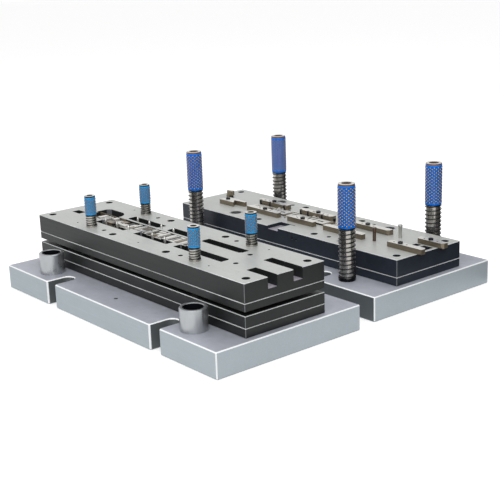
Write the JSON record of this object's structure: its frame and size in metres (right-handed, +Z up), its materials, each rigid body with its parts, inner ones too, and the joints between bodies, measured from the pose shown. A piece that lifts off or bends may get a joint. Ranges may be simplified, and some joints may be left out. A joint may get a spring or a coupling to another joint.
{
  "type": "progressive stamping die",
  "caption": "Opened progressive stamping die: lower half with guide posts and stock rails, upper half turned over beside it with its sprung stripper plate up.",
  "frame": {"origin": "centre of the lower shoe's underside, which rests on the bench", "axes": "+Z up out of the lower shoe; +X along the strip's feed and the shoe's length; +Y away from the turned-over upper half"},
  "size_m": [0.608, 0.61, 0.206],
  "materials": {
    "shoe_alloy": "fine milled",
    "ground_steel": "ground top, dark oxide sides",
    "backing_steel": "dark oxide",
    "insert_steel": "bright ground",
    "rail_steel": "ground, straw tinted sides",
    "post_steel": "polished",
    "bush_steel": "polished",
    "spring_steel": "oiled",
    "cage_blue": "smooth",
    "inner_cage_blue": "smooth",
    "cap_steel": "turned",
    "black_steel": "black oxide"
  },
  "bodies": {
    "lower_die": {"lower_shoe": "shoe_alloy", "die_backing_plate": "backing_steel", "die_plate": "ground_steel", "die_inserts": "insert_steel", "die_bushes": "bush_steel", "die_dowels": "insert_steel", "die_plate_screws": "black_steel", "entry_guide_block": "rail_steel", "feed_stop": "rail_steel", "strip_pins": "black_steel", "front_rail_1": "rail_steel", "front_rail_2": "rail_steel", "front_rail_3": "rail_steel", "front_rail_4": "rail_steel", "rear_rail_1": "rail_steel", "rear_rail_2": "rail_steel", "rear_rail_3": "rail_steel", "rear_rail_4": "rail_steel", "rail_screws": "black_steel", "guide_post_1": "post_steel", "guide_post_2": "post_steel", "guide_post_3": "post_steel", "guide_post_4": "post_steel", "post_caps": "cap_steel", "post_spring_1": "spring_steel", "post_spring_2": "spring_steel", "post_spring_3": "spring_steel", "post_spring_4": "spring_steel", "lifter_spring_1": "spring_steel", "lifter_spring_2": "spring_steel"},
    "upper_die": {"upper_shoe": "shoe_alloy", "guide_bushes": "bush_steel", "punch_backing_plate": "backing_steel", "punch_plate": "backing_steel", "pilots": "post_steel", "punches": "insert_steel", "pressure_springs": "spring_steel"},
    "stripper": {"stripper_plate": "ground_steel", "stripper_backing_plate": "backing_steel", "stripper_inserts": "insert_steel", "stripper_screws": "black_steel", "stripper_dowels": "insert_steel", "stripper_bolts": "black_steel", "inner_posts": "post_steel", "inner_post_caps": "cap_steel", "inner_spring_1": "spring_steel", "inner_spring_2": "spring_steel", "inner_spring_3": "spring_steel", "inner_spring_4": "spring_steel"},
    "ball_cage_1": {"ball_cage_1": "cage_blue"},
    "ball_cage_2": {"ball_cage_2": "cage_blue"},
    "ball_cage_3": {"ball_cage_3": "cage_blue"},
    "ball_cage_4": {"ball_cage_4": "cage_blue"},
    "inner_cage_1": {"inner_cage_1": "inner_cage_blue"},
    "inner_cage_2": {"inner_cage_2": "inner_cage_blue"},
    "inner_cage_3": {"inner_cage_3": "inner_cage_blue"},
    "inner_cage_4": {"inner_cage_4": "inner_cage_blue"},
    "guide_lifter_1": {"guide_lifter_1": "post_steel"},
    "guide_lifter_2": {"guide_lifter_2": "post_steel"}
  },
  "joints": [
    {"name": "upper_half_lift", "type": "slide", "parent": "lower_die", "child": "upper_die", "axis": [0, 0, 1], "range_m": [0, 0.2]},
    {"name": "stripper_float", "type": "slide", "parent": "upper_die", "child": "stripper", "axis": [0, 0, 1], "range_m": [-0.0055, 0], "stiffness_N_per_m": 40000, "springref_m": 0.015, "deforming": ["pressure_springs"]},
    {"name": "ball_cage_1_slide", "type": "slide", "parent": "lower_die", "child": "ball_cage_1", "axis": [0, 0, 1], "range_m": [-0.04, 0], "stiffness_N_per_m": 50, "springref_m": 0.02, "deforming": ["post_spring_1"]},
    {"name": "ball_cage_2_slide", "type": "slide", "parent": "lower_die", "child": "ball_cage_2", "axis": [0, 0, 1], "range_m": [-0.04, 0], "stiffness_N_per_m": 50, "springref_m": 0.02, "deforming": ["post_spring_2"]},
    {"name": "ball_cage_3_slide", "type": "slide", "parent": "lower_die", "child": "ball_cage_3", "axis": [0, 0, 1], "range_m": [-0.04, 0], "stiffness_N_per_m": 50, "springref_m": 0.02, "deforming": ["post_spring_3"]},
    {"name": "ball_cage_4_slide", "type": "slide", "parent": "lower_die", "child": "ball_cage_4", "axis": [0, 0, 1], "range_m": [-0.04, 0], "stiffness_N_per_m": 50, "springref_m": 0.02, "deforming": ["post_spring_4"]},
    {"name": "inner_cage_1_slide", "type": "slide", "parent": "stripper", "child": "inner_cage_1", "axis": [0, 0, 1], "range_m": [-0.012, 0], "stiffness_N_per_m": 100, "springref_m": 0.01, "deforming": ["inner_spring_1"]},
    {"name": "inner_cage_2_slide", "type": "slide", "parent": "stripper", "child": "inner_cage_2", "axis": [0, 0, 1], "range_m": [-0.012, 0], "stiffness_N_per_m": 100, "springref_m": 0.01, "deforming": ["inner_spring_2"]},
    {"name": "inner_cage_3_slide", "type": "slide", "parent": "stripper", "child": "inner_cage_3", "axis": [0, 0, 1], "range_m": [-0.012, 0], "stiffness_N_per_m": 100, "springref_m": 0.01, "deforming": ["inner_spring_3"]},
    {"name": "inner_cage_4_slide", "type": "slide", "parent": "stripper", "child": "inner_cage_4", "axis": [0, 0, 1], "range_m": [-0.012, 0], "stiffness_N_per_m": 100, "springref_m": 0.01, "deforming": ["inner_spring_4"]},
    {"name": "guide_lifter_1_slide", "type": "slide", "parent": "lower_die", "child": "guide_lifter_1", "axis": [0, 0, 1], "range_m": [-0.012, 0], "stiffness_N_per_m": 300, "springref_m": 0.01, "deforming": ["lifter_spring_1"]},
    {"name": "guide_lifter_2_slide", "type": "slide", "parent": "lower_die", "child": "guide_lifter_2", "axis": [0, 0, 1], "range_m": [-0.012, 0], "stiffness_N_per_m": 300, "springref_m": 0.01, "deforming": ["lifter_spring_2"]}
  ]
}
